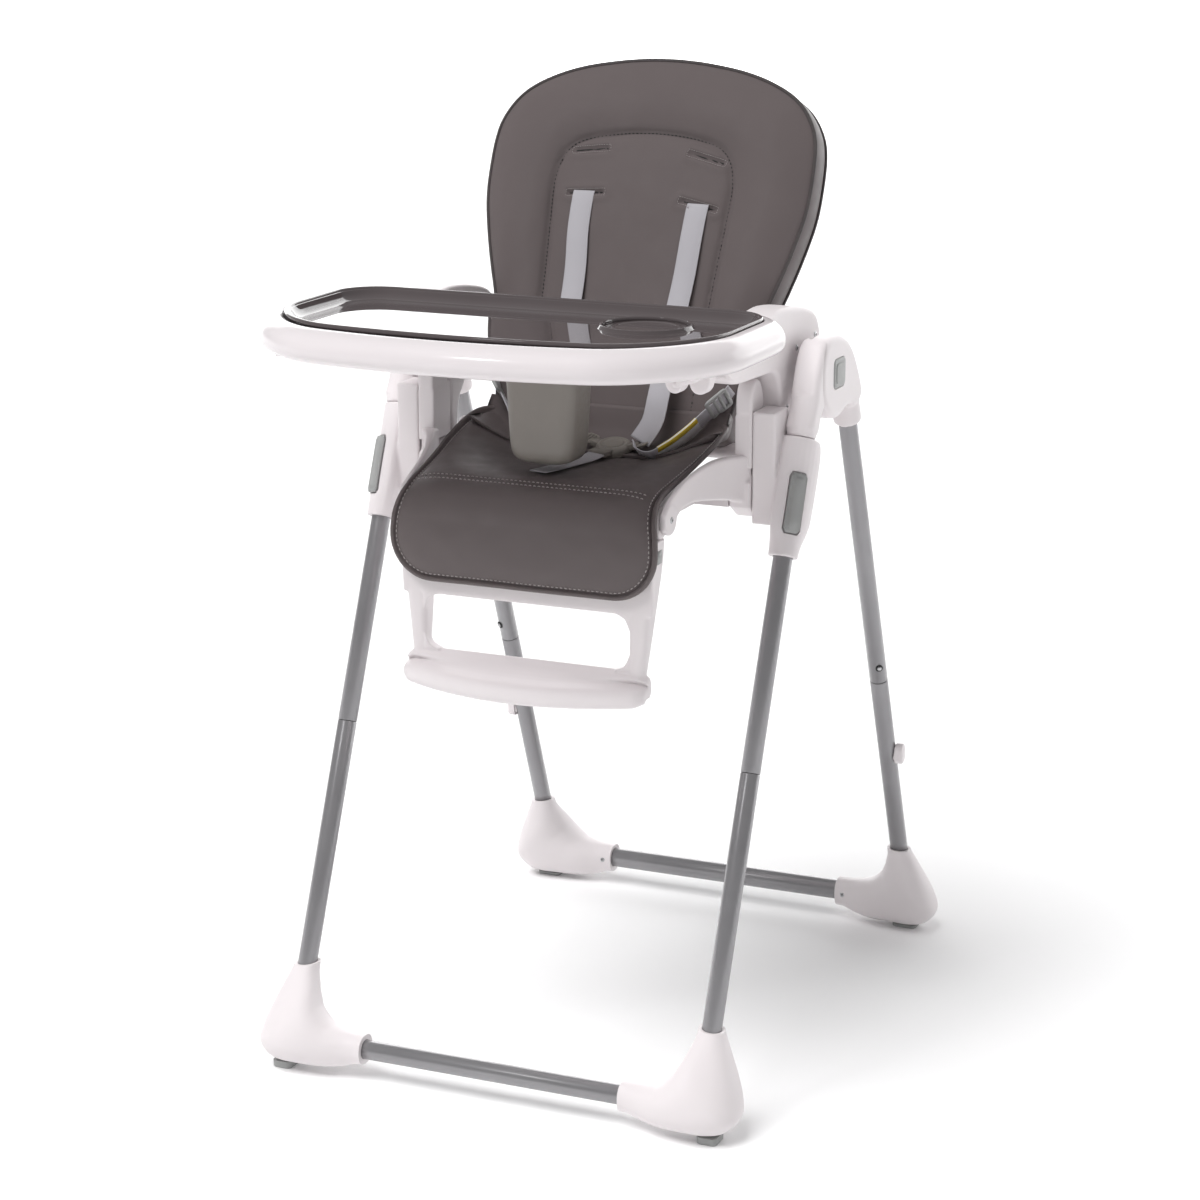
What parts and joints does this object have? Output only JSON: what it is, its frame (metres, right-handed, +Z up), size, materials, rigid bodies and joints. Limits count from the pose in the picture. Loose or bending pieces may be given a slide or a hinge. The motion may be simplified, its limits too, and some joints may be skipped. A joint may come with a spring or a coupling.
{
  "type": "baby high chair",
  "caption": "Folding baby high chair on splayed tube legs, with a padded reclining seat, adjustable leg rest, sliding tray with a removable insert and a harness.",
  "frame": {"origin": "on the floor, at the middle of the chair's bounding box", "axes": "+Z up, the seat faces -Y, right is +X as seen from the front"},
  "size_m": [0.589, 0.8702, 1.1149],
  "materials": {
    "white_plastic": "moulded, semi-gloss",
    "tube_paint": "silver-grey powder paint, satin",
    "grey_plastic": "moulded, satin",
    "taupe_plastic": "moulded, satin",
    "dark_plastic": "moulded, high gloss",
    "pad_cover": "smooth coated leather cloth, satin",
    "webbing": "woven polyester"
  },
  "bodies": {
    "front_frame": {"front_leg_lower_right": "tube_paint", "front_leg_lower_left": "tube_paint", "front_leg_upper_right": "tube_paint", "front_leg_upper_left": "tube_paint", "front_crossbar": "tube_paint", "foot_front_right": "white_plastic", "foot_front_left": "white_plastic", "foot_pad_front_right": "grey_plastic", "foot_pad_front_left": "grey_plastic", "hinge_front_right": "white_plastic", "hinge_front_left": "white_plastic"},
    "rear_frame": {"rear_leg_lower_right": "tube_paint", "rear_leg_lower_left": "tube_paint", "rear_leg_upper_right": "tube_paint", "rear_leg_upper_left": "tube_paint", "rear_crossbar": "tube_paint", "foot_rear_right": "white_plastic", "foot_rear_left": "white_plastic", "foot_pad_rear_right": "grey_plastic", "foot_pad_rear_left": "grey_plastic", "hinge_rear_right": "white_plastic", "hinge_rear_left": "white_plastic", "tray_hook_right": "white_plastic", "tray_hook_left": "white_plastic"},
    "fold_button_r": {"fold_button_right": "grey_plastic"},
    "fold_button_l": {"fold_button_left": "grey_plastic"},
    "seat": {"slider_right": "white_plastic", "slider_left": "white_plastic", "side_post_right": "white_plastic", "side_post_left": "white_plastic", "armrest_right": "white_plastic", "armrest_left": "white_plastic", "seat_bracket_right": "white_plastic", "seat_bracket_left": "white_plastic", "seat_pan": "white_plastic", "seat_pad": "pad_cover", "buckle": "grey_plastic", "waist_strap_right": "webbing", "waist_strap_left": "webbing", "crotch_strap": "webbing"},
    "height_lever_r": {"height_lever_right": "grey_plastic"},
    "height_lever_l": {"height_lever_left": "grey_plastic"},
    "backrest": {"backrest_shell": "white_plastic", "backrest_pad": "pad_cover", "shoulder_strap_right": "webbing", "shoulder_strap_left": "webbing"},
    "recline_handle": {"recline_handle": "grey_plastic"},
    "legrest": {"legrest_arm_right": "white_plastic", "legrest_arm_left": "white_plastic", "footrest_frame": "white_plastic", "legrest_pad": "pad_cover"},
    "tray": {"tray_base": "white_plastic", "crotch_post": "taupe_plastic"},
    "tray_lever_r": {"tray_lever_right": "white_plastic"},
    "tray_lever_l": {"tray_lever_left": "white_plastic"},
    "tray_insert": {"tray_insert": "dark_plastic"}
  },
  "joints": [
    {"name": "fold", "type": "hinge", "parent": "front_frame", "child": "rear_frame", "pos_m": [0, 0.04875, 0.785], "axis": [-1, 0, 0], "range_deg": [0, 38]},
    {"name": "seat_height", "type": "slide", "parent": "front_frame", "child": "seat", "axis": [0, -0.3844, -0.9232], "range_m": [0, 0.215]},
    {"name": "recline", "type": "hinge", "parent": "seat", "child": "backrest", "pos_m": [0, 0.03575, 0.687], "axis": [-1, 0, 0], "range_deg": [0, 40]},
    {"name": "legrest_tilt", "type": "hinge", "parent": "seat", "child": "legrest", "pos_m": [0, -0.18925, 0.655], "axis": [-1, 0, 0], "range_deg": [0, 75]},
    {"name": "tray_slide", "type": "slide", "parent": "seat", "child": "tray", "axis": [0, -1, 0], "range_m": [0, 0.16]},
    {"name": "tray_insert_lift", "type": "slide", "parent": "tray", "child": "tray_insert", "axis": [0, 0, 1], "range_m": [0, 0.06]},
    {"name": "recline_pull", "type": "slide", "parent": "backrest", "child": "recline_handle", "axis": [0, 0.3827, 0.9239], "range_m": [0, 0.01], "stiffness_N_per_m": 600},
    {"name": "fold_press_r", "type": "slide", "parent": "rear_frame", "child": "fold_button_r", "axis": [-1, 0, 0], "range_m": [0, 0.004], "stiffness_N_per_m": 600},
    {"name": "height_press_r", "type": "slide", "parent": "seat", "child": "height_lever_r", "axis": [-0.6, 0.7385, -0.3075], "range_m": [0, 0.003], "stiffness_N_per_m": 600},
    {"name": "tray_release_r", "type": "slide", "parent": "tray", "child": "tray_lever_r", "axis": [-1, 0, 0], "range_m": [0, 0.004], "stiffness_N_per_m": 600},
    {"name": "fold_press_l", "type": "slide", "parent": "rear_frame", "child": "fold_button_l", "axis": [1, 0, 0], "range_m": [0, 0.004], "stiffness_N_per_m": 600},
    {"name": "height_press_l", "type": "slide", "parent": "seat", "child": "height_lever_l", "axis": [0.6, 0.7385, -0.3075], "range_m": [0, 0.003], "stiffness_N_per_m": 600},
    {"name": "tray_release_l", "type": "slide", "parent": "tray", "child": "tray_lever_l", "axis": [1, 0, 0], "range_m": [0, 0.004], "stiffness_N_per_m": 600}
  ]
}
